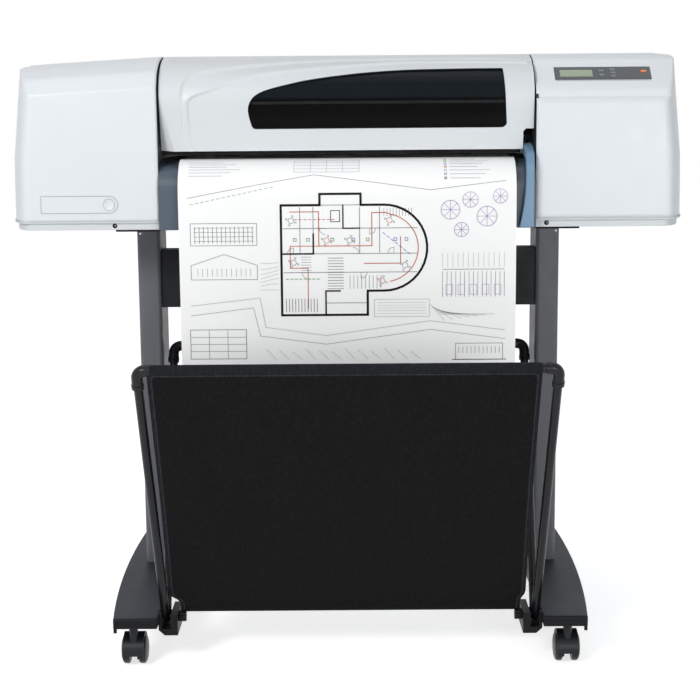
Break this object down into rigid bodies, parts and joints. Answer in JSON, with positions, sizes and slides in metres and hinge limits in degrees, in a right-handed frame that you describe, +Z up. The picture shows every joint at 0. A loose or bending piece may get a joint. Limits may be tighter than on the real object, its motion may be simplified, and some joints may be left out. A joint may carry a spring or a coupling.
{
  "type": "large format plotter",
  "caption": "Roll-fed wide inkjet plotter on a wheeled steel stand, with a hinged smoked window, a side control panel and a tilting canvas bin that catches the printed sheet.",
  "frame": {"origin": "on the floor, at the middle of the footprint box", "axes": "+X to the viewer's right along the machine, +Y to the back, +Z up; the front faces -Y"},
  "size_m": [1.254, 0.8937, 1.1004],
  "materials": {
    "stand_steel": "satin powder coat",
    "dark_steel": "satin powder coat",
    "base_paint": "satin powder coat",
    "black_plastic": "satin moulded",
    "caster_plastic": "satin moulded",
    "canvas": "plain weave canvas",
    "cover_plastic": "fine satin grain",
    "smoked_pane": "smoked gloss",
    "slate_plastic": "satin moulded",
    "lever_blue": "satin moulded",
    "chassis_metal": "brushed",
    "sheet_steel": "galvanised",
    "rail_steel": "ground and polished",
    "roller_rubber": "matt grit",
    "inner_plastic": "moulded",
    "brass_gear": "machined",
    "media_paper": "coated paper",
    "panel_plastic": "satin moulded",
    "display": "display",
    "key_grey": "moulded",
    "key_amber": "lit key"
  },
  "bodies": {
    "root": {"left_foot": "stand_steel", "right_foot": "stand_steel", "foot_end_caps": "black_plastic", "left_leg": "stand_steel", "right_leg": "stand_steel", "cross_brace": "dark_steel", "bin_brackets": "black_plastic", "bin_rear_frame": "black_plastic", "bin_rear_fabric": "canvas", "base_pan": "base_paint", "side_plates": "sheet_steel", "left_cover": "cover_plastic", "right_cover": "cover_plastic", "rear_cover": "cover_plastic", "front_platen": "slate_plastic", "print_platen": "inner_plastic", "chassis_beam": "chassis_metal", "scan_rails": "rail_steel", "drive_belt": "roller_rubber", "drive_motors": "sheet_steel", "media_sheet": "media_paper", "service_station": "inner_plastic", "ink_station": "inner_plastic", "ink_cartridges": "black_plastic", "electronics_box": "sheet_steel", "control_panel": "panel_plastic", "lcd_screen": "display"},
    "bin_front": {"bin_front_frame": "black_plastic", "bin_front_fabric": "canvas"},
    "knob_left": {"bin_knob_left": "black_plastic"},
    "knob_right": {"bin_knob_right": "black_plastic"},
    "window": {"window_frame": "cover_plastic", "window_pane": "smoked_pane"},
    "service_door": {"service_door": "cover_plastic"},
    "ink_lid": {"ink_lid": "cover_plastic"},
    "carriage": {"carriage": "inner_plastic", "printheads": "black_plastic"},
    "scan_pulley": {"scan_pulley": "chassis_metal"},
    "idler_pulley": {"idler_pulley": "chassis_metal"},
    "feed_roller": {"drive_roller": "roller_rubber"},
    "feed_pinion": {"feed_pinion": "brass_gear"},
    "pinch_bar": {"pinch_bar": "sheet_steel"},
    "pinch_wheels": {"pinch_wheels": "roller_rubber"},
    "media_lever": {"media_lever": "lever_blue"},
    "spindle": {"media_spindle": "inner_plastic", "media_roll": "media_paper"},
    "caster_fl": {"caster_hood_fl": "caster_plastic"},
    "wheels_fl": {"caster_wheels_fl": "caster_plastic"},
    "caster_fr": {"caster_hood_fr": "caster_plastic"},
    "wheels_fr": {"caster_wheels_fr": "caster_plastic"},
    "caster_rl": {"caster_hood_rl": "caster_plastic"},
    "wheels_rl": {"caster_wheels_rl": "caster_plastic"},
    "caster_rr": {"caster_hood_rr": "caster_plastic"},
    "wheels_rr": {"caster_wheels_rr": "caster_plastic"},
    "key_menu": {"key_menu": "key_grey"},
    "key_back": {"key_back": "key_grey"},
    "key_up": {"key_up": "key_grey"},
    "key_enter": {"key_enter": "key_grey"},
    "key_down": {"key_down": "key_grey"},
    "key_power": {"key_power": "key_amber"}
  },
  "joints": [
    {"name": "caster_swivel_fl", "type": "hinge", "parent": "root", "child": "caster_fl", "pos_m": [-0.396, -0.23987, 0.07], "axis": [0, 0, 1], "continuous": true},
    {"name": "wheel_spin_fl", "type": "hinge", "parent": "caster_fl", "child": "wheels_fl", "pos_m": [-0.396, -0.22387, 0.027], "axis": [1, 0, 0], "continuous": true},
    {"name": "caster_swivel_fr", "type": "hinge", "parent": "root", "child": "caster_fr", "pos_m": [0.396, -0.23987, 0.07], "axis": [0, 0, 1], "continuous": true},
    {"name": "wheel_spin_fr", "type": "hinge", "parent": "caster_fr", "child": "wheels_fr", "pos_m": [0.396, -0.22387, 0.027], "axis": [1, 0, 0], "continuous": true},
    {"name": "caster_swivel_rl", "type": "hinge", "parent": "root", "child": "caster_rl", "pos_m": [-0.396, 0.40113, 0.07], "axis": [0, 0, 1], "continuous": true},
    {"name": "wheel_spin_rl", "type": "hinge", "parent": "caster_rl", "child": "wheels_rl", "pos_m": [-0.396, 0.41713, 0.027], "axis": [1, 0, 0], "continuous": true},
    {"name": "caster_swivel_rr", "type": "hinge", "parent": "root", "child": "caster_rr", "pos_m": [0.396, 0.40113, 0.07], "axis": [0, 0, 1], "continuous": true},
    {"name": "wheel_spin_rr", "type": "hinge", "parent": "caster_rr", "child": "wheels_rr", "pos_m": [0.396, 0.41713, 0.027], "axis": [1, 0, 0], "continuous": true},
    {"name": "bin_fold", "type": "hinge", "parent": "root", "child": "bin_front", "pos_m": [0, -0.22187, 0.088], "axis": [-1, 0, 0], "range_deg": [0, 21]},
    {"name": "knob_left_turn", "type": "hinge", "parent": "root", "child": "knob_left", "pos_m": [-0.306, -0.22187, 0.088], "axis": [-1, 0, 0], "continuous": true},
    {"name": "knob_right_turn", "type": "hinge", "parent": "root", "child": "knob_right", "pos_m": [0.306, -0.22187, 0.088], "axis": [1, 0, 0], "continuous": true},
    {"name": "window_lift", "type": "hinge", "parent": "root", "child": "window", "pos_m": [0, 0.11113, 1.0944], "axis": [-1, 0, 0], "range_deg": [0, 70]},
    {"name": "service_door_swing", "type": "hinge", "parent": "root", "child": "service_door", "pos_m": [0.6224, 0.10063, 0.817], "axis": [0, 1, 0], "range_deg": [0, 100]},
    {"name": "ink_lid_lift", "type": "hinge", "parent": "root", "child": "ink_lid", "pos_m": [-0.5, 0.18313, 1.08854], "axis": [-0.9986, 0, -0.0526], "range_deg": [0, 75]},
    {"name": "carriage_travel", "type": "slide", "parent": "root", "child": "carriage", "axis": [-1, 0, 0], "range_m": [0, 0.86]},
    {"name": "scan_pulley_spin", "type": "hinge", "parent": "root", "child": "scan_pulley", "pos_m": [0.535, 0.12313, 0.995], "axis": [0, 1, 0], "continuous": true},
    {"name": "idler_pulley_spin", "type": "hinge", "parent": "root", "child": "idler_pulley", "pos_m": [-0.535, 0.12313, 0.995], "axis": [0, 1, 0], "continuous": true},
    {"name": "drive_roller_spin", "type": "hinge", "parent": "root", "child": "feed_roller", "pos_m": [0, 0.07813, 0.9], "axis": [1, 0, 0], "continuous": true},
    {"name": "feed_pinion_spin", "type": "hinge", "parent": "root", "child": "feed_pinion", "pos_m": [-0.354, 0.07813, 0.8676], "axis": [1, 0, 0], "continuous": true},
    {"name": "pinch_lift", "type": "hinge", "parent": "root", "child": "pinch_bar", "pos_m": [0, 0.11813, 0.9298], "axis": [-1, 0, 0], "range_deg": [0, 6]},
    {"name": "pinch_wheel_spin", "type": "hinge", "parent": "pinch_bar", "child": "pinch_wheels", "pos_m": [0, 0.07813, 0.9192], "axis": [1, 0, 0], "continuous": true},
    {"name": "media_lever_swing", "type": "hinge", "parent": "root", "child": "media_lever", "pos_m": [0.33, -0.08187, 0.928], "axis": [-1, 0, 0], "range_deg": [0, 60]},
    {"name": "spindle_spin", "type": "hinge", "parent": "root", "child": "spindle", "pos_m": [0, 0.31313, 0.86], "axis": [1, 0, 0], "continuous": true},
    {"name": "key_menu_press", "type": "slide", "parent": "root", "child": "key_menu", "axis": [0, 0.6219, -0.7831], "range_m": [0, 0.001], "stiffness_N_per_m": 400},
    {"name": "key_back_press", "type": "slide", "parent": "root", "child": "key_back", "axis": [0, 0.6219, -0.7831], "range_m": [0, 0.001], "stiffness_N_per_m": 400},
    {"name": "key_up_press", "type": "slide", "parent": "root", "child": "key_up", "axis": [0, 0.6219, -0.7831], "range_m": [0, 0.001], "stiffness_N_per_m": 400},
    {"name": "key_enter_press", "type": "slide", "parent": "root", "child": "key_enter", "axis": [0, 0.6219, -0.7831], "range_m": [0, 0.001], "stiffness_N_per_m": 400},
    {"name": "key_down_press", "type": "slide", "parent": "root", "child": "key_down", "axis": [0, 0.6219, -0.7831], "range_m": [0, 0.001], "stiffness_N_per_m": 400},
    {"name": "key_power_press", "type": "slide", "parent": "root", "child": "key_power", "axis": [0, 0.6219, -0.7831], "range_m": [0, 0.001], "stiffness_N_per_m": 400}
  ],
  "couplings": [
    {"joint": "scan_pulley_spin", "follows": "carriage_travel", "rad_per_m": -76.6},
    {"joint": "idler_pulley_spin", "follows": "carriage_travel", "rad_per_m": -76.6},
    {"joint": "feed_pinion_spin", "follows": "drive_roller_spin", "ratio": -3},
    {"joint": "pinch_wheel_spin", "follows": "drive_roller_spin", "ratio": -2},
    {"joint": "pinch_lift", "follows": "media_lever_swing", "ratio": 0.1}
  ]
}
